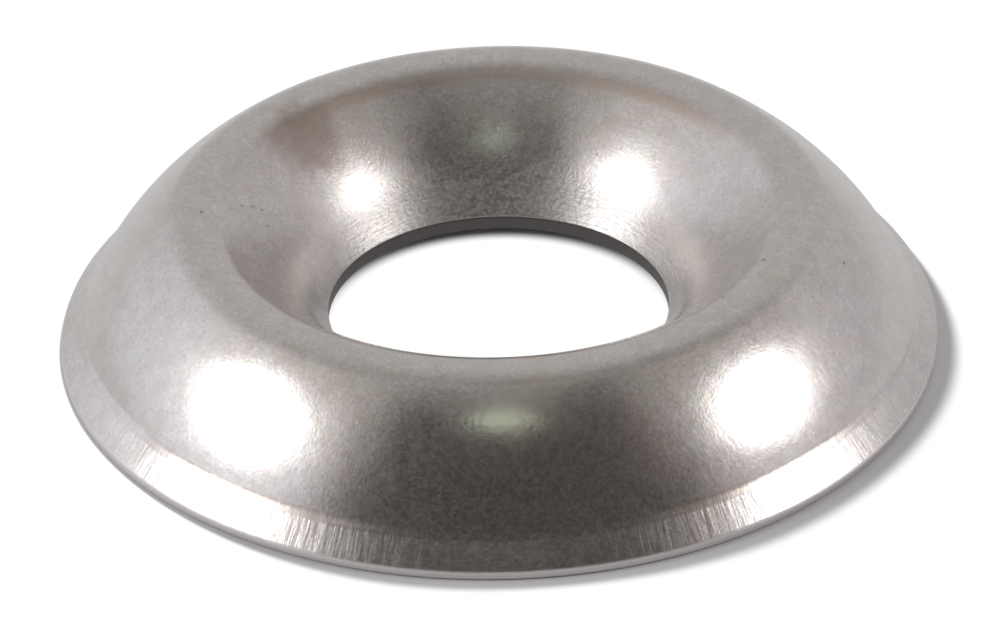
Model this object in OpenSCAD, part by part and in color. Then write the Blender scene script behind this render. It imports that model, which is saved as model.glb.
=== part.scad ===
// Finishing cup washer: one disc of sheet metal, drawn into a rounded ring with a countersunk
// cup and a plain hole in the middle, for a countersunk screw.
// The origin is on the axis, in the plane that the rim stands on. +Z points out of the cup.

/* [Washer] */
// Diameter across the trimmed edge of the rim
outer_d = 17.5; // [16.5:0.1:20]
// Height of the crest above the plane that the rim stands on
height = 3; // [2.6:0.05:3.4]
// Thickness of the sheet
sheet_t = 0.5; // [0.35:0.05:0.6]

/* [Cup] */
// Diameter of the screw hole
hole_d = 6.8; // [5.6:0.1:7.6]
// Full angle of the cup where its wall meets the hole
mouth_angle = 64; // [58:1:72]
// Radius of the curve by which the wall opens out towards the crest
wall_r = 8.4; // [6.6:0.2:14]
// Height of the straight cut edge around the hole
hole_land_h = 0.3; // [0.15:0.05:0.4]
// Height of the flat tip of the cup above the plane that the rim stands on
tip_lift = 0.3; // [0:0.05:0.5]

/* [Crest and dome] */
// Radius of the bend under the crest, on the inner face of the sheet
crest_bend_r = 0.45; // [0.2:0.05:0.6]
// Radius of the dome that runs from the crest down to the crease
dome_r = 5.6; // [4.4:0.1:9]

/* [Rim] */
// Width of the burnished band around the foot of the dome, measured along the radius
band_w = 0.5; // [0.36:0.02:0.7]
// Height of the crease where the dome meets the band
crease_h = 0.75; // [0.6:0.05:1]
// Height of the trimmed edge below the band
edge_h = 0.18; // [0.1:0.02:0.3]
// Radius of the roll between the band and the trimmed edge
edge_roll_r = 0.14; // [0.05:0.01:0.2]

/* [Hidden] */
$fn = 180;

// Largest turn between two points of an arc in the outline, in degrees
arc_step = 3;

outer_r = outer_d / 2;
hole_r = hole_d / 2;

// Cup: a wall that starts steep at the cut edge of the hole and opens out in one arc
hole_slope = 90 - mouth_angle / 2;
wall_low = [hole_r, tip_lift + hole_land_h];
wall_centre = wall_low - wall_r * facing(-hole_slope);
tip_slope = -acos((tip_lift - wall_centre.y) / (wall_r - sheet_t));

// Crest: one bend whose top lies at the full height, and which the wall's arc touches, so
// its centre lies the difference of the two radii from the centre of the wall's arc
crest_top_r = crest_bend_r + sheet_t;
crest_centre_z = height - crest_top_r;
wall_gap = wall_r - crest_top_r;
wall_rise = crest_centre_z - wall_centre.y;
crest_centre = [wall_centre.x - sqrt(wall_gap * wall_gap - wall_rise * wall_rise), crest_centre_z];
wall_top_slope = slope_seen(wall_centre, crest_centre);

// Dome: an arc through the crease that touches the crest bend, so its centre lies one
// radius from the crease and the difference of the two radii from the crest's centre
crease = [outer_r - band_w, crease_h];
to_crease = crease - crest_centre;
span = norm(to_crease);
centre_gap = dome_r - crest_top_r;
along = (centre_gap * centre_gap - dome_r * dome_r + span * span) / (2 * span);
aside = sqrt(centre_gap * centre_gap - along * along);
dome_centre = crest_centre + (along * to_crease + aside * [to_crease.y, -to_crease.x]) / span;
shoulder_slope = slope_seen(dome_centre, crest_centre);
dome_foot_slope = slope_seen(dome_centre, crease);

// Band: a straight flank from the crease to the roll above the trimmed edge
band_slope = atan2(crease_h - edge_h, band_w);
roll_centre = [
    outer_r - edge_roll_r,
    edge_h - edge_roll_r * (1 - sin(band_slope)) / cos(band_slope)
];
foot_inner_r = outer_r - (sheet_t / cos(band_slope) - edge_h) / tan(band_slope);

// Unit vector square to a face that slopes down and outwards by the angle given
function facing(slope) = [sin(slope), cos(slope)];

// Slope of a face about one point, where it is met by the line out to another point
function slope_seen(centre, point) = atan2(point.x - centre.x, point.y - centre.y);

// Points of an arc about a centre between two slopes, without its first point
function arc(centre, r, slope_from, slope_to) =
    let (steps = ceil(abs(slope_to - slope_from) / arc_step))
    [
        for (i = [1:1:steps])
            centre + r * facing(slope_from + (slope_to - slope_from) * i / steps)
    ];

// Upper face of the sheet, from the hole's edge over the crest to the foot of the rim
upper_face = concat(
    [[hole_r, tip_lift], wall_low],
    arc(wall_centre, wall_r, -hole_slope, wall_top_slope),
    arc(crest_centre, crest_top_r, wall_top_slope, shoulder_slope),
    arc(dome_centre, dome_r, shoulder_slope, dome_foot_slope),
    [roll_centre + edge_roll_r * facing(band_slope)],
    arc(roll_centre, edge_roll_r, band_slope, 90),
    [[outer_r, 0]]
);

// Inner face, one thickness below it, from the foot of the rim back to the cup's tip
inner_face = concat(
    [[foot_inner_r, 0], crease - sheet_t * facing(band_slope)],
    arc(crease, -sheet_t, band_slope, dome_foot_slope),
    arc(dome_centre, dome_r - sheet_t, dome_foot_slope, shoulder_slope),
    arc(crest_centre, crest_bend_r, shoulder_slope, wall_top_slope),
    arc(wall_centre, wall_r - sheet_t, wall_top_slope, tip_slope)
);

module cup_washer() {
    color("silver")
        rotate_extrude()
            polygon(concat(upper_face, inner_face));
}

cup_washer();
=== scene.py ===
import math

import bpy
import numpy as np
from mathutils import Matrix, Vector


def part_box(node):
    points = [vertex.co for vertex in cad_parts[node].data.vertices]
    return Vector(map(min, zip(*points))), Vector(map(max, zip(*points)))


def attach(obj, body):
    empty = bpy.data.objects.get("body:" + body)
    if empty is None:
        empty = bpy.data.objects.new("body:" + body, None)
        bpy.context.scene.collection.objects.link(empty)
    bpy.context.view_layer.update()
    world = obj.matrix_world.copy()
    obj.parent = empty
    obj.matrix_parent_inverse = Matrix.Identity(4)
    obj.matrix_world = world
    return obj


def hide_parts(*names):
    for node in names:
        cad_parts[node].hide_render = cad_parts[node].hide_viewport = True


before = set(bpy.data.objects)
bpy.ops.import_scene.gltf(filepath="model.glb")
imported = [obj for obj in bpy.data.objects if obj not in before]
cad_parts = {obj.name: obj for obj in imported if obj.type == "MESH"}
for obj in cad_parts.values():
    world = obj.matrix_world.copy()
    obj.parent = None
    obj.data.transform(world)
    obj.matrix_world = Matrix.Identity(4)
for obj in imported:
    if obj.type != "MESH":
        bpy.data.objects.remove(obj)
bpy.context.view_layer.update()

# Units
MM = 0.001
MICRON = 0.001 * MM

# Sizes of the washer, as in the part's source
node_low, node_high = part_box("cup_washer")
OUTER_R = (node_high.x - node_low.x) / 2
HEIGHT = node_high.z
SHEET_T = 0.5 * MM
HOLE_R = 3.4 * MM
HOLE_SLOPE = math.radians(58)
WALL_R = 8.4 * MM
HOLE_LAND_H = 0.3 * MM
TIP_LIFT = 0.3 * MM
CREST_BEND_R = 0.45 * MM
DOME_R = 5.6 * MM
BAND_W = 0.5 * MM
CREASE_H = 0.75 * MM
EDGE_H = 0.18 * MM
EDGE_ROLL_R = 0.14 * MM

# Small roundings that the part's source leaves out
HOLE_TOP_ROUND = 0.05 * MM
HOLE_LOW_ROUND = 0.03 * MM
CREASE_ROUND = 0.5 * MM
FOOT_ROUND = 0.06 * MM

# Resolution of the mesh
AROUND = 620
FINE_STEP = math.radians(1.25)
BEND_STEP = math.radians(2.6)
CREASE_STEP = math.radians(3)
ROLL_STEP = math.radians(6)
CORNER_STEP = math.radians(14)
HIDDEN_STEP = math.radians(5)
HIDDEN_BEND_STEP = math.radians(10)
LAND_STEP = 0.06 * MM
BAND_STEP = 0.08 * MM
EDGE_STEP = 0.02 * MM
FOOT_STEP = 0.15 * MM
TIP_STEP = 0.1 * MM

# Camera, at the photograph's viewing angle. Elevation and roll are in degrees.
CAMERA_DISTANCE = 12.5 * OUTER_R
CAMERA_ELEVATION = 32.377
CAMERA_ROLL = 1.379
IMAGE_W = 1000
IMAGE_H = 636
SENSOR_W = 36 * MM
NEAREST_SEEN = 1 * MM
FURTHEST_SEEN = 10
PIXELS_PER_RADIUS = 436.98
BASE_CENTRE_PX = (499.22, 329.70)


# Outline

# First faces of the outline, in order. The foot's inner corner and the inner faces follow them.
LAND_LOW, LAND, LAND_TOP, WALL, CREST, DOME, CREASE, BAND, ROLL, EDGE, FOOT_CORNER, FOOT = range(12)


def facing(slope):
    """Unit vector (radius, height) square to a face that slopes down and outwards."""
    return np.array([math.sin(slope), math.cos(slope)])


def slope_seen(centre, point):
    return math.atan2(point[0] - centre[0], point[1] - centre[1])


def arc(centre, radius, slope_from, slope_to, step):
    """Points of an arc between two slopes, both ends included."""
    swing = slope_to - slope_from
    count = max(1, math.ceil(abs(swing) / step))
    return [centre + radius * facing(slope_from + swing * i / count) for i in range(count + 1)]


def corner(point, slope_from, slope_to, radius, step=CORNER_STEP):
    """Rounds the corner of two faces. A negative radius rounds a hollow corner."""
    square = np.array([facing(slope_from), facing(slope_to)])
    centre = point + np.linalg.solve(square, [-radius, -radius])
    return arc(centre, radius, slope_from, slope_to, step)


def line(start, end, length):
    """Points strictly between two ends, about one length apart."""
    count = max(1, round(float(np.linalg.norm(end - start)) / length))
    return [start + (end - start) * i / count for i in range(1, count)]


def washer_outline():
    """The closed outline, from the cut edge at the hole over the crest to the foot and back inside.

    Gives its points as (radius, height), the face of each, the way along the outline to each from the
    crease, and the index of each face's first point.
    """
    right = math.pi / 2
    crest_top_r = CREST_BEND_R + SHEET_T
    wall_low = np.array([HOLE_R, TIP_LIFT + HOLE_LAND_H])
    wall_centre = wall_low - WALL_R * facing(-HOLE_SLOPE)
    tip_slope = -math.acos((TIP_LIFT - wall_centre[1]) / (WALL_R - SHEET_T))
    tip_outer = wall_centre + (WALL_R - SHEET_T) * facing(tip_slope)
    wall_rise = HEIGHT - crest_top_r - wall_centre[1]
    crest_x = wall_centre[0] - math.sqrt((WALL_R - crest_top_r) ** 2 - wall_rise ** 2)
    crest_centre = np.array([crest_x, HEIGHT - crest_top_r])
    wall_top = slope_seen(wall_centre, crest_centre)
    crease = np.array([OUTER_R - BAND_W, CREASE_H])
    to_crease = crease - crest_centre
    span = float(np.linalg.norm(to_crease))
    centre_gap = DOME_R - crest_top_r
    along = (centre_gap ** 2 - DOME_R ** 2 + span ** 2) / (2 * span)
    aside = math.sqrt(centre_gap ** 2 - along ** 2)
    dome_centre = crest_centre + (along * to_crease + aside * np.array([to_crease[1], -to_crease[0]])) / span
    shoulder = slope_seen(dome_centre, crest_centre)
    dome_foot = slope_seen(dome_centre, crease)
    band = math.atan2(CREASE_H - EDGE_H, BAND_W)
    roll_centre_z = EDGE_H - EDGE_ROLL_R * (1 - math.sin(band)) / math.cos(band)
    roll_centre = np.array([OUTER_R - EDGE_ROLL_R, roll_centre_z])
    foot_inner = np.array([OUTER_R - (SHEET_T / math.cos(band) - EDGE_H) / math.tan(band), 0])

    crease_arc = corner(crease, dome_foot, band, -CREASE_ROUND, CREASE_STEP)
    dome_end = slope_seen(dome_centre, crease_arc[0])
    land_low = corner(np.array([HOLE_R, TIP_LIFT]), -2 * right, -right, HOLE_LOW_ROUND)
    land_top = corner(wall_low, -right, -HOLE_SLOPE, HOLE_TOP_ROUND, ROLL_STEP)
    wall_start = slope_seen(wall_centre, land_top[-1])
    wall = arc(wall_centre, WALL_R, wall_start, wall_top, FINE_STEP)
    crest = arc(crest_centre, crest_top_r, wall_top, shoulder, BEND_STEP)
    dome = arc(dome_centre, DOME_R, shoulder, dome_end, FINE_STEP)
    roll = arc(roll_centre, EDGE_ROLL_R, band, right, ROLL_STEP)
    foot = corner(np.array([OUTER_R, 0]), right, 2 * right, FOOT_ROUND)
    foot_in = corner(foot_inner, 2 * right, 2 * right + band, FOOT_ROUND)
    inner_crease = arc(crease, -SHEET_T, band, dome_foot, HIDDEN_STEP)
    inner_dome = arc(dome_centre, DOME_R - SHEET_T, dome_foot, shoulder, HIDDEN_STEP)
    inner_crest = arc(crest_centre, CREST_BEND_R, shoulder, wall_top, HIDDEN_BEND_STEP)
    inner_wall = arc(wall_centre, WALL_R - SHEET_T, wall_top, tip_slope, HIDDEN_STEP)
    tip_in = corner(tip_outer, 2 * right + tip_slope, 2 * right, HOLE_LOW_ROUND)

    faces = [
        land_low,
        line(land_low[-1], land_top[0], LAND_STEP),
        land_top,
        wall[1:],
        crest[1:],
        dome[1:],
        crease_arc[1:],
        line(crease_arc[-1], roll[0], BAND_STEP),
        roll,
        line(roll[-1], foot[0], EDGE_STEP),
        foot,
        line(foot[-1], foot_in[0], FOOT_STEP),
        foot_in,
        line(foot_in[-1], inner_crease[0], FOOT_STEP),
        inner_crease,
        inner_dome[1:],
        inner_crest[1:],
        inner_wall[1:-1],
        tip_in,
        line(tip_in[-1], land_low[0], TIP_STEP),
    ]
    ring, face_of = [], []
    for number, face in enumerate(faces):
        ring += face
        face_of += [number] * len(face)
    ring = np.array(ring)
    step = np.linalg.norm(np.roll(ring, -1, 0) - ring, axis=1)
    run = np.concatenate([[0], np.cumsum(step)])
    first = {number: face_of.index(number) for number in sorted(set(face_of))}
    run -= run[first[CREASE]]
    return ring, np.array(face_of), run, first


# Shape

# Fullness of the cup's wall between its ends, and how far above the hole it is greatest
WALL_SWELL = 45 * MICRON
WALL_SWELL_LOW = 0.9 * MM

# Waves of the real sheet: fewest around the washer and the count they stay under, how many are
# added, how far each leans to a side in radians a millimetre, and height
SWAY = (2, 6, 4, 0.2, 3 * MICRON)
RIPPLE = (9, 40, 24, 1.5, 0.8 * MICRON)
GROOVES = (90, 300, 80, 2.0, 2 * MICRON)
TEARS = (60, 300, 60, 1.0, 1.5 * MICRON)
GROOVES_FADE = 0.15 * MM

rng = np.random.default_rng(11)


def harmonics(angle, along, low, high, count, lean, height):
    """Sum of seeded waves around the washer, each of which leans by its own amount along the outline."""
    drift = lean * along
    total = np.zeros(np.broadcast(angle, drift).shape)
    for k in rng.integers(low, high, count):
        turn, side = rng.uniform(0, 2 * math.pi), rng.normal()
        total += np.cos(k * angle + turn + side * drift)
    return total / math.sqrt(count) * height


def fade(value, low, high):
    """0 below low, 1 above high, and smooth between them."""
    t = np.clip((value - low) / (high - low), 0, 1)
    return t * t * (3 - 2 * t)


def unevenness(angle, run, first):
    """How far the real sheet stands proud of the true outline, in metres."""
    starts = {face: run[i] for face, i in first.items()}
    r = run[:-1, None]
    a = angle[None, :]
    body = fade(r, starts[WALL], starts[CREST]) * (1 - fade(r, starts[ROLL], starts[FOOT_CORNER]))
    on_band = fade(r, starts[BAND], starts[BAND] + GROOVES_FADE) * (1 - fade(r, starts[ROLL], starts[EDGE]))
    on_edge = fade(r, starts[ROLL], starts[EDGE]) * (1 - fade(r, starts[FOOT_CORNER], starts[FOOT]))
    fullest = starts[WALL] + WALL_SWELL_LOW
    swell = fade(r, starts[WALL], fullest) * (1 - fade(r, fullest, starts[CREST]))
    sway, ripple, grooves, tears = (harmonics(a, r / MM, *wave) for wave in (SWAY, RIPPLE, GROOVES, TEARS))
    return body * (sway + ripple) + on_band * grooves + on_edge * tears + swell * WALL_SWELL


def washer_mesh():
    """The washer as one closed revolved mesh, with its outline's points.

    Also gives the way along the outline, in mm from the crease, to the start of each face and to each point.
    """
    ring, face_of, run, first = washer_outline()
    count = len(ring)
    angle = np.linspace(0, 2 * math.pi, AROUND, endpoint=False)
    ahead = np.roll(ring, -1, 0) - np.roll(ring, 1, 0)
    ahead /= np.linalg.norm(ahead, axis=1)[:, None]
    normal = np.stack([-ahead[:, 1], ahead[:, 0]], 1)
    proud = unevenness(angle, run, first)
    radius = ring[:, :1] + normal[:, :1] * proud
    height = ring[:, 1:] + normal[:, 1:] * proud
    places = np.stack([radius * np.cos(angle), radius * np.sin(angle), height], -1)
    index = np.arange(count * AROUND).reshape(count, AROUND)
    below, beside = np.roll(index, -1, 0), np.roll(index, -1, 1)
    across = np.roll(below, -1, 1)
    quads = np.stack([index, beside, across, below], -1).reshape(-1, 4)
    mesh = bpy.data.meshes.new("cup_washer_sheet")
    mesh.from_pydata(places.reshape(-1, 3).tolist(), [], quads.tolist())
    start, end = run[:-1] / MM, run[1:] / MM
    corner_run = np.repeat(np.stack([start, start, end, end], -1)[:, None, :], AROUND, 1)
    attribute = mesh.attributes.new("run", "FLOAT", "CORNER")
    attribute.data.foreach_set("value", corner_run.astype(np.float32).ravel())
    mesh.shade_smooth()
    return mesh, ring, {face: run[i] / MM for face, i in first.items()}, start


# Nodes

class Graph:
    """Adds nodes to a tree. A value is a number, a colour, a vector or another node's output."""

    def __init__(self, tree):
        self.tree = tree
        tree.nodes.clear()

    def add(self, kind, *values, **settings):
        node = self.tree.nodes.new(kind)
        for name, value in settings.items():
            setattr(node, name, value)
        for socket, value in zip(node.inputs, values):
            self.feed(socket, value)
        return node

    def feed(self, socket, value):
        if isinstance(value, bpy.types.NodeSocket):
            self.tree.links.new(value, socket)
        else:
            socket.default_value = value

    def math(self, operation, *values):
        return self.add("ShaderNodeMath", *values, operation=operation).outputs[0]

    def vector(self, operation, *values):
        return self.add("ShaderNodeVectorMath", *values, operation=operation).outputs[0]

    def measure(self, operation, *vectors):
        """A vector operation whose result is a number."""
        return self.add("ShaderNodeVectorMath", *vectors, operation=operation).outputs["Value"]

    def times(self, vector, factor):
        node = self.add("ShaderNodeVectorMath", vector, operation="SCALE")
        self.feed(node.inputs["Scale"], factor)
        return node.outputs[0]

    def smooth(self, value, low, high):
        """0 at low, 1 at high, and smooth between them."""
        node = self.add("ShaderNodeMapRange", interpolation_type="SMOOTHSTEP")
        self.feed(node.inputs["Value"], value)
        for name, bound in (("From Min", low), ("From Max", high), ("To Min", 0), ("To Max", 1)):
            node.inputs[name].default_value = bound
        return node.outputs[0]

    def between(self, value, low, high, soft):
        """1 between low and high, with soft edges."""
        rise = self.smooth(value, low - soft / 2, low + soft / 2)
        fall = self.smooth(value, high + soft / 2, high - soft / 2)
        return self.math("MULTIPLY", rise, fall)

    def noise(self, vector, scale, detail, roughness, seed):
        """Noise from 0 to 1, with scale features in a unit of the vector."""
        node = self.add("ShaderNodeTexNoise", noise_dimensions="4D")
        values = {"Vector": vector, "W": seed, "Scale": scale, "Detail": detail, "Roughness": roughness}
        for name, value in values.items():
            self.feed(node.inputs[name], value)
        return node.outputs["Fac"]

    def mix(self, share, a, b):
        node = self.add("ShaderNodeMix", data_type="RGBA")
        for socket, value in ((node.inputs[0], share), (node.inputs[6], a), (node.inputs[7], b)):
            self.feed(socket, value)
        return node.outputs[2]

    def stretch(self, value, low, high):
        """Maps 0 to 1 onto low to high."""
        return self.math("MULTIPLY_ADD", value, high - low, low)


def colour(r, g, b):
    return (r, g, b, 1)


# Material

# Colours, as linear values
NICKEL = colour(0.64, 0.612, 0.60)
NICKEL_DULL = colour(0.59, 0.558, 0.545)
WARM_TARNISH = colour(0.60, 0.55, 0.50)
GREEN_TARNISH = colour(0.58, 0.60, 0.54)
CREST_STAIN = colour(0.52, 0.43, 0.36)
DARK_STAIN = colour(0.37, 0.30, 0.265)
# Brownish painted shade for the crease, laid where the lamps' highlights cross it
CREASE_SHADE = colour(0.46, 0.40, 0.35)
CUT_EDGE = colour(0.72, 0.69, 0.68)
# Cut land at the hole, painted near black as the shade it would reflect from the floor under the tip
CUT_LAND_SHADE = colour(0.13, 0.12, 0.12)
PIT_DARK = colour(0.25, 0.21, 0.19)

# Noises: features in a millimetre, octaves, strength of the finer octaves and seed
GRAIN = (8, 3, 0.6, 0)
FINE_GRAIN = (15, 2, 0.6, 3)
CLOUDS = (2.4, 3, 0.6, 5)
WARM_PATCHES = (3.1, 2, 0.6, 7)
GREEN_PATCHES = (2.7, 2, 0.6, 9)
STREAKS = (7, 2, 0.6, 12)
RINGS = (16, 2, 0.6, 20)

# How much the streaks change along the outline, and the rings around the washer
STREAKS_ALONG = 0.12
RINGS_AROUND = 0.5

# Zones along the outline: the face at whose start each begins and how far past that start, the
# same for its end, and the width of its soft edges, in mm
ZONES = {
    "wall": (LAND_TOP, 0, CREST, -0.3, 0.5),
    "band": (BAND, 0, ROLL, 0.03, 0.08),
    "edge": (ROLL, 0.03, FOOT_CORNER, 0.1, 0.06),
    "land": (LAND, -0.1, LAND_TOP, 0.01, 0.02),
    "crease": (CREASE, -0.01, BAND, -0.01, 0.06),
    "crest": (CREST, -0.18, CREST, 0.08, 0.2),
}

# Worked ring at the hole: where it begins before its edge, and where it fades out up the wall, in mm
HOLE_RING_BEGINS = 0.05
HOLE_RING_FADES = (1.4, 0.3)

# Heights of the surface's detail, in microns
GRAIN_HEIGHT = 2.0
FINE_HEIGHT = 1.7
WALL_FINE_HEIGHT = 1.0
BAND_STREAK_HEIGHT = 9.0
HOLE_RING_HEIGHT = 8.0
HOLE_GRAIN_HEIGHT = 6.0
CUT_STREAK_HEIGHT = 6.0
PIT_HEIGHT = -1.5

# Brightness of the hollows and tops of the fine grain and of the grain
TINT_FINE = (0.70, 1.30)
TINT_GRAIN = (0.87, 1.13)

# Ranges of the noises over which clouds, patches of tarnish, streaks of the painted crease shade and dust
# set in
CLOUD_RANGE = (0.35, 0.65)
PATCH_RANGE = (0.48, 0.7)
CREASE_SHADE_RANGE = (0.1, 0.7)
DUST_RANGE = (1.05, 1.5)

# Weight of the fine grain beside the grain in the noise of the dust
DUST_FINE = 1.5

# Greatest share of each stain in the tint
PATCH_SHARE = 0.5
CREST_SHARE = (0.2, 1.0)
SMUDGE_SHARE = 0.6
STAIN_SHARE = 0.8
PIT_SHARE = 0.75

# Roughness of the dome, and what is added on the cup's wall, on the worked ring at the hole, on the
# band, on cut metal and from the dullest to the brightest clouds
ROUGHNESS = 0.225
WALL_ROUGHER = 0.05
HOLE_ROUGHER = 0.12
BAND_ROUGHER = 0.045
CUT_ROUGHER = 0.25
CLOUD_ROUGHER = 0.08

# Share of dull, scattering surface without dust and with it, and what the ring at the hole adds
HAZE = (0.008, 0.088)
HOLE_HAZE = (0.0, 0.28)

# Brown smudge on the front of the dome and stain on the far wall: middle, and where each fades in, in mm
SMUDGE = (1.0, -7.4, 1.9)
SMUDGE_FADES = (2.6, 0.6)
STAIN = (-3.82, 3.42, 2.55)
STAIN_FADES = (1.55, 0.7)
STAIN_RAGGED = 0.8

# Depth in mm behind the axis from which the crest is stained
STAINED_CREST = (2.4, 3.6)

# Shares of the way to a side between which shade is painted along the crease, under the lamps' highlights,
# and the width of their soft edges, and shares of the way back over which that painted shade fades in
OVER_LAMPS = (0.4, 0.8, 0.15)
IN_FRONT = (0, -0.3)

# Distance from a pit's middle, in its radii and with the fine grain added, over which it fades in
PIT_FADES = (1.9, 1.1)

# Pits: turn from the camera's side to the right in degrees, way from the crease and radius in mm
PITS = (
    (271.0, -3.44, 0.045),
    (261.5, -4.25, 0.035),
    (259.0, -4.46, 0.030),
    (257.5, -4.67, 0.035),
    (261.5, -4.91, 0.040),
    (275.0, -4.67, 0.040),
    (275.0, -5.03, 0.035),
    (294.5, -4.19, 0.055),
    (65.5, -3.59, 0.050),
    (75.5, -2.09, 0.035),
    (49.5, -3.59, 0.030),
)


def pit_nearness(g, place, outline, run):
    """Distance to the nearest pit, in radii of that pit."""
    nearest = None
    for angle, along, radius in PITS:
        out = float(np.interp(along, run, outline[:, 0])) / MM
        up = float(np.interp(along, run, outline[:, 1])) / MM
        turn = math.radians(angle)
        centre = (out * math.sin(turn), -out * math.cos(turn), up)
        radii = g.math("DIVIDE", g.measure("DISTANCE", place, centre), radius)
        nearest = radii if nearest is None else g.math("MINIMUM", nearest, radii)
    return nearest


def nickel(starts, outline, outline_run):
    """Satin nickel: tumbled grain, draw streaks on the band, turning marks at the hole, stains, pits,
    painted shade along the crease and a cut land at the hole painted dark as shade.
    """
    material = bpy.data.materials.new("satin_nickel")
    material.use_nodes = True
    g = Graph(material.node_tree)
    place = g.times(g.add("ShaderNodeTexCoord").outputs["Object"], 1 / MM)
    heading = g.vector("NORMALIZE", g.vector("MULTIPLY", place, (1, 1, 0)))
    run = g.add("ShaderNodeAttribute", attribute_name="run").outputs["Fac"]
    lengthways = g.add("ShaderNodeCombineXYZ", 0, 0, run).outputs[0]
    rim_place = g.times(heading, OUTER_R / MM)

    grain = g.noise(place, *GRAIN)
    fine = g.noise(place, *FINE_GRAIN)
    cloud = g.noise(place, *CLOUDS)
    warm = g.noise(place, *WARM_PATCHES)
    green = g.noise(place, *GREEN_PATCHES)
    streaks = g.noise(g.vector("ADD", rim_place, g.times(lengthways, STREAKS_ALONG)), *STREAKS)
    rings = g.noise(g.vector("ADD", lengthways, g.times(heading, RINGS_AROUND)), *RINGS)
    pitted = g.smooth(g.math("ADD", pit_nearness(g, place, outline, outline_run), fine), *PIT_FADES)

    zone = {}
    for name, (first, past_first, last, past_last, soft) in ZONES.items():
        zone[name] = g.between(run, starts[first] + past_first, starts[last] + past_last, soft)
    cut = g.math("MAXIMUM", zone["edge"], zone["land"])
    up_to_hole = g.smooth(run, starts[LAND_TOP] - HOLE_RING_BEGINS, starts[LAND_TOP])
    fading_out = g.smooth(run, *(starts[WALL] + past for past in HOLE_RING_FADES))
    near_hole = g.math("MULTIPLY", up_to_hole, fading_out)
    behind = g.add("ShaderNodeSeparateXYZ", place).outputs[1]
    far_crest = g.math("MULTIPLY", zone["crest"], g.smooth(behind, *STAINED_CREST))
    smudged = g.smooth(g.measure("DISTANCE", place, SMUDGE), *SMUDGE_FADES)
    from_stain = g.measure("DISTANCE", place, STAIN)
    stained = g.smooth(g.math("MULTIPLY_ADD", cloud, STAIN_RAGGED, from_stain), *STAIN_FADES)
    aside, back = g.add("ShaderNodeSeparateXYZ", heading).outputs[:2]
    over_lamps = g.between(g.math("ABSOLUTE", aside), *OVER_LAMPS)
    over_lamps = g.math("MULTIPLY", over_lamps, g.smooth(back, *IN_FRONT))
    # Painted shade along the crease: streaky, on the front only, where the lamps' highlights fall
    crease_shade_share = g.math("MULTIPLY", g.smooth(streaks, *CREASE_SHADE_RANGE), over_lamps)

    tint = g.mix(g.smooth(cloud, *CLOUD_RANGE), NICKEL_DULL, NICKEL)
    tint = g.times(tint, g.stretch(fine, *TINT_FINE))
    tint = g.times(tint, g.stretch(grain, *TINT_GRAIN))
    tint = g.mix(g.math("MULTIPLY", g.smooth(warm, *PATCH_RANGE), PATCH_SHARE), tint, WARM_TARNISH)
    tint = g.mix(g.math("MULTIPLY", g.smooth(green, *PATCH_RANGE), PATCH_SHARE), tint, GREEN_TARNISH)
    tint = g.mix(g.math("MULTIPLY", far_crest, g.stretch(cloud, *CREST_SHARE)), tint, CREST_STAIN)
    tint = g.mix(g.math("MULTIPLY", smudged, SMUDGE_SHARE), tint, WARM_TARNISH)
    tint = g.mix(g.math("MULTIPLY", stained, STAIN_SHARE), tint, DARK_STAIN)
    # Paint the crease's shade into the tint
    tint = g.mix(g.math("MULTIPLY", zone["crease"], crease_shade_share), tint, CREASE_SHADE)
    tint = g.mix(zone["edge"], tint, CUT_EDGE)
    # Painted shade on the cut land at the hole
    tint = g.mix(zone["land"], tint, CUT_LAND_SHADE)
    tint = g.mix(g.math("MULTIPLY", pitted, PIT_SHARE), tint, PIT_DARK)

    height = g.math("MULTIPLY", grain, GRAIN_HEIGHT)
    height = g.math("MULTIPLY_ADD", fine, FINE_HEIGHT, height)
    height = g.math("MULTIPLY_ADD", g.math("MULTIPLY", zone["band"], streaks), BAND_STREAK_HEIGHT, height)
    height = g.math("MULTIPLY_ADD", g.math("MULTIPLY", near_hole, rings), HOLE_RING_HEIGHT, height)
    height = g.math("MULTIPLY_ADD", g.math("MULTIPLY", near_hole, grain), HOLE_GRAIN_HEIGHT, height)
    height = g.math("MULTIPLY_ADD", g.math("MULTIPLY", zone["wall"], fine), WALL_FINE_HEIGHT, height)
    height = g.math("MULTIPLY_ADD", g.math("MULTIPLY", cut, streaks), CUT_STREAK_HEIGHT, height)
    height = g.math("MULTIPLY_ADD", pitted, PIT_HEIGHT, height)

    rough = g.math("MULTIPLY_ADD", g.math("SUBTRACT", cloud, 0.5), CLOUD_ROUGHER, ROUGHNESS)
    rough = g.math("MULTIPLY_ADD", zone["wall"], WALL_ROUGHER, rough)
    rough = g.math("MULTIPLY_ADD", near_hole, HOLE_ROUGHER, rough)
    rough = g.math("MULTIPLY_ADD", zone["band"], BAND_ROUGHER, rough)
    rough = g.math("MULTIPLY_ADD", cut, CUT_ROUGHER, rough)

    dust = g.smooth(g.math("MULTIPLY_ADD", fine, DUST_FINE, grain), *DUST_RANGE)
    haze = g.stretch(dust, *HAZE)
    haze = g.math("MULTIPLY_ADD", near_hole, g.stretch(dust, *HOLE_HAZE), haze)

    bump = g.add("ShaderNodeBump")
    bump.inputs["Strength"].default_value = 1
    bump.inputs["Distance"].default_value = MICRON
    g.feed(bump.inputs["Height"], height)
    shader = g.add("ShaderNodeBsdfPrincipled")
    g.feed(shader.inputs["Metallic"], g.math("SUBTRACT", 1, haze))
    g.feed(shader.inputs["Base Color"], tint)
    g.feed(shader.inputs["Roughness"], rough)
    g.feed(shader.inputs["Normal"], bump.outputs[0])
    g.add("ShaderNodeOutputMaterial", shader.outputs[0])
    return material


# Studio

FLOOR_SIZE = 4
FLOOR_DROP = 2 * MICRON
FLOOR_WHITE = colour(0.68, 0.68, 0.70)

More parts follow.
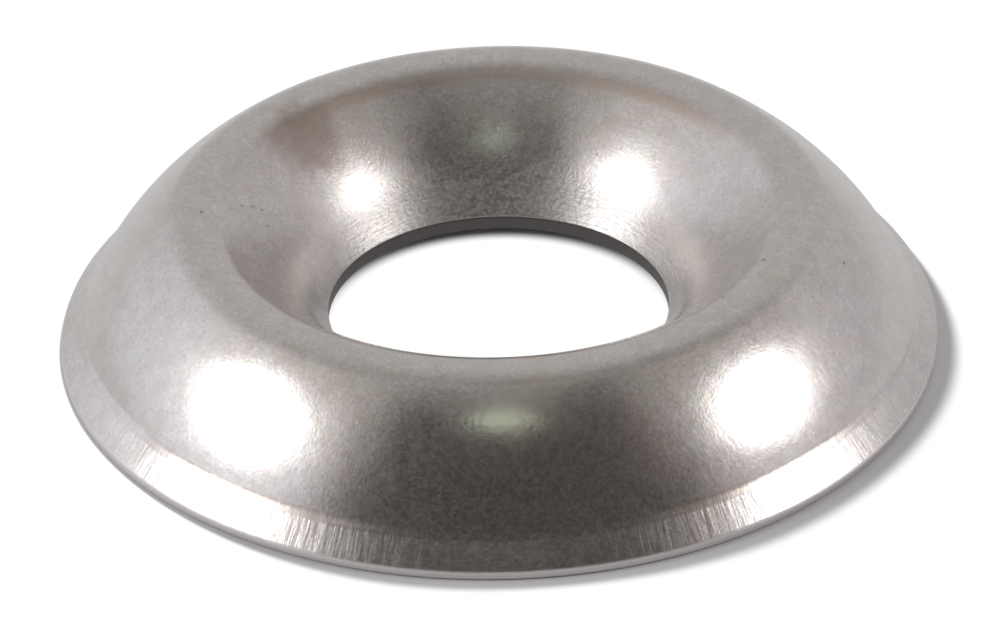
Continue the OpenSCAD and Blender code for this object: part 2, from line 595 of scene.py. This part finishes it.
# How far from the rim the floor shows its lit and shadowed surface, darker than the plain white, so that
# this band is a painted shadow with the real shade inside it: at the left, in front and at the right
SHADE_LEFT = 0.06 * MM
SHADE_FRONT = 0.42 * MM
SHADE_RIGHT = 0.66 * MM

# Shares of the way to the right, and of the way back, over which that reach changes
LEFT_TO_FRONT = (-0.9, -0.15)
FRONT_TO_RIGHT = (0.1, 0.62)
BACK_TO_SIDES = (0.5, -0.35)

# Share of the reach at which the plain white sets in, and how far from the hole it fades out inside
WHITE_SETS_IN = 0.4
WHITE_UNDER_TIP = 0.4 * MM

# Share of the floor's plain white that metal shows
METAL_SHOWS = 0.45


def floor_material():
    """Plain white away from the washer, and close to its rim a painted shadow band in which the floor shows
    its real light and shade.
    """
    material = bpy.data.materials.new("studio_floor")
    material.use_nodes = True
    g = Graph(material.node_tree)
    rays = g.add("ShaderNodeLightPath")
    seen = g.math("MAXIMUM", rays.outputs["Is Camera Ray"], rays.outputs["Is Transmission Ray"])
    seen = g.math("MAXIMUM", seen, g.math("MULTIPLY", rays.outputs["Is Glossy Ray"], METAL_SHOWS))
    place = g.add("ShaderNodeTexCoord").outputs["Object"]
    out = g.measure("LENGTH", place)
    aside, back = g.add("ShaderNodeSeparateXYZ", g.vector("NORMALIZE", place)).outputs[:2]
    growth = g.math("MULTIPLY", g.smooth(aside, *LEFT_TO_FRONT), SHADE_FRONT - SHADE_LEFT)
    growth = g.math("MULTIPLY_ADD", g.smooth(aside, *FRONT_TO_RIGHT), SHADE_RIGHT - SHADE_FRONT, growth)
    reach = g.math("MULTIPLY_ADD", g.smooth(back, *BACK_TO_SIDES), growth, SHADE_LEFT)
    gap = g.math("DIVIDE", g.math("SUBTRACT", out, OUTER_R), reach)
    outside = g.smooth(gap, WHITE_SETS_IN, 1)
    inside = g.smooth(out, HOLE_R + WHITE_UNDER_TIP, HOLE_R)
    plain = g.math("MAXIMUM", outside, inside)
    lit = g.add("ShaderNodeBsdfDiffuse", FLOOR_WHITE).outputs[0]
    white = g.add("ShaderNodeEmission", colour(1, 1, 1), 1).outputs[0]
    # Where plain is low, near the rim, the grey lit floor shows: a painted shadow band that holds the real
    # shadow
    mixed = g.add("ShaderNodeMixShader", g.math("MULTIPLY", seen, plain), lit, white)
    g.add("ShaderNodeOutputMaterial", mixed.outputs[0])
    return material


def studio_floor():
    half = FLOOR_SIZE / 2
    mesh = bpy.data.meshes.new("studio_floor")
    corners = [(-half, -half), (half, -half), (half, half), (-half, half)]
    mesh.from_pydata([(x, y, -FLOOR_DROP) for x, y in corners], [], [(0, 1, 2, 3)])
    floor = bpy.data.objects.new("studio_floor", mesh)
    bpy.context.scene.collection.objects.link(floor)
    floor.data.materials.append(floor_material())


def direction(azimuth, elevation):
    """Unit vector at two angles in degrees. Azimuth 0 is towards the camera and 90 is to its right."""
    a, e = math.radians(azimuth), math.radians(elevation)
    return Vector((math.sin(a) * math.cos(e), -math.cos(a) * math.cos(e), math.sin(e)))


# Distance of all lamps, and directions of the two big ones
LAMP_DISTANCE = 150 * MM
LEFT_LAMP = (-79, 29.5)
RIGHT_LAMP = (82, 28)

# Lamps: name, direction, half width and half height in degrees as seen from the washer, radiance and tint
LAMPS = (
    ("left_lamp", LEFT_LAMP, 14.5, 14.5, 4.1, (1, 1, 1)),
    ("right_lamp", RIGHT_LAMP, 13.5, 13.5, 3.5, (1, 1, 1)),
    ("card", (0.5, 59.5), 6.5, 1.3, 3.4, (0.87, 1, 0.80)),
)


def lamp(name, toward, half_width, half_height, radiance, tint):
    """A soft oval lamp that faces the washer. Its radiance is as bright as a white surface at 1."""
    data = bpy.data.lights.new(name, "AREA")
    data.shape = "ELLIPSE"
    data.size = 2 * LAMP_DISTANCE * math.tan(math.radians(half_width))
    data.size_y = 2 * LAMP_DISTANCE * math.tan(math.radians(half_height))
    data.color = tint
    data.energy = radiance * math.pi * (math.pi / 4 * data.size * data.size_y)
    light = bpy.data.objects.new(name, data)
    bpy.context.scene.collection.objects.link(light)
    away = direction(*toward)
    light.location = away * LAMP_DISTANCE
    light.rotation_mode = "QUATERNION"
    light.rotation_quaternion = away.to_track_quat("Z", "Y")
    light.visible_camera = False


# Room: brightness of its sides, high up and near the floor, and of the glow around each big lamp
ROOM_BACK = colour(0.60, 0.585, 0.575)
ROOM_LEFT_HIGH = colour(0.52, 0.505, 0.485)
ROOM_LEFT_LOW = colour(0.95, 0.95, 1.02)
ROOM_RIGHT_HIGH = colour(0.35, 0.335, 0.32)
ROOM_RIGHT_LOW = colour(0.61, 0.59, 0.62)
ROOM_OVERHEAD = colour(0.31, 0.295, 0.285)
ROOM_DARK = colour(0.074, 0.067, 0.065)
LAMP_GLOW = (0.12, 0.10, 0.085)

# Turn of the dark side from the camera's to the right, its half width, the height up to which it is
# dark, the heights of the upper and lower room, and the half width of the glow around a lamp, in degrees
DARK_SIDE = 5
DARK_WIDTH = (65, 43)
DARK_TOP = (82, 62)
UPPER_TO_LOWER = (60, 20)
GLOW_WIDTH = (42, 16)

# Shares of the way to a side over which the room changes, and of the way out from overhead
BACK_TO_LEFT = (-0.35, -1)
BACK_TO_RIGHT = (0.4, 1)
AROUND_TO_OVERHEAD = (0.66, -0.12)

# Least level part of a heading, so that nothing is divided by zero straight up
LEAST_LEVEL = 0.001


def sines(degrees):
    return [math.sin(math.radians(angle)) for angle in degrees]


def cosines(degrees):
    return [math.cos(math.radians(angle)) for angle in degrees]


def room():
    """The room that the metal shows: pale behind and at the sides, grey overhead and dark in front."""
    world = bpy.data.worlds.new("studio_room")
    bpy.context.scene.world = world
    world.use_nodes = True
    g = Graph(world.node_tree)
    heading = g.add("ShaderNodeTexCoord").outputs["Generated"]
    x, y, z = g.add("ShaderNodeSeparateXYZ", heading).outputs
    level = g.math("SQRT", g.math("MULTIPLY_ADD", x, x, g.math("MULTIPLY", y, y)))
    level = g.math("MAXIMUM", level, LEAST_LEVEL)
    right = g.math("DIVIDE", x, level)
    behind = g.math("DIVIDE", y, level)
    turn = math.radians(DARK_SIDE)
    ahead = g.math("MULTIPLY_ADD", right, math.sin(turn), g.math("MULTIPLY", behind, -math.cos(turn)))
    to_left, to_right = g.smooth(right, *BACK_TO_LEFT), g.smooth(right, *BACK_TO_RIGHT)
    high = g.mix(to_right, g.mix(to_left, ROOM_BACK, ROOM_LEFT_HIGH), ROOM_RIGHT_HIGH)
    low = g.mix(to_right, g.mix(to_left, ROOM_BACK, ROOM_LEFT_LOW), ROOM_RIGHT_LOW)
    around = g.mix(g.smooth(z, *sines(UPPER_TO_LOWER)), high, low)
    around = g.mix(g.smooth(level, *AROUND_TO_OVERHEAD), around, ROOM_OVERHEAD)
    front = g.smooth(ahead, *cosines(DARK_WIDTH))
    below_top = g.smooth(z, *sines(DARK_TOP))
    shown = g.mix(g.math("MULTIPLY", front, below_top), around, ROOM_DARK)
    for toward in (LEFT_LAMP, RIGHT_LAMP):
        glow = g.smooth(g.measure("DOT_PRODUCT", heading, direction(*toward)), *cosines(GLOW_WIDTH))
        shown = g.vector("ADD", shown, g.times(LAMP_GLOW, glow))
    background = g.add("ShaderNodeBackground", shown, 1)
    g.add("ShaderNodeOutputWorld", background.outputs[0])


def camera():
    """At the photograph's angle and distance, with the washer's base centre where it is there."""
    data = bpy.data.cameras.new("camera")
    data.sensor_width = SENSOR_W / MM
    data.lens = PIXELS_PER_RADIUS * CAMERA_DISTANCE / OUTER_R / IMAGE_W * data.sensor_width
    data.shift_x = (IMAGE_W / 2 - BASE_CENTRE_PX[0]) / IMAGE_W
    data.shift_y = (BASE_CENTRE_PX[1] - IMAGE_H / 2) / IMAGE_W
    data.clip_start = NEAREST_SEEN
    data.clip_end = FURTHEST_SEEN
    view = bpy.data.objects.new("camera", data)
    bpy.context.scene.collection.objects.link(view)
    away = direction(0, CAMERA_ELEVATION)
    facing_washer = away.to_track_quat("Z", "Y").to_matrix().to_4x4()
    rolled = facing_washer @ Matrix.Rotation(math.radians(-CAMERA_ROLL), 4, "Z")
    view.matrix_world = Matrix.Translation(away * CAMERA_DISTANCE) @ rolled
    bpy.context.scene.camera = view


mesh, outline, starts, outline_run = washer_mesh()
washer = bpy.data.objects.new("cup_washer_sheet", mesh)
bpy.context.scene.collection.objects.link(washer)
mesh.materials.append(nickel(starts, outline, outline_run))
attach(washer, "root")
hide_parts("cup_washer")

studio_floor()
room()
for settings in LAMPS:
    lamp(*settings)
camera()
bpy.context.scene.view_settings.view_transform = "Standard"
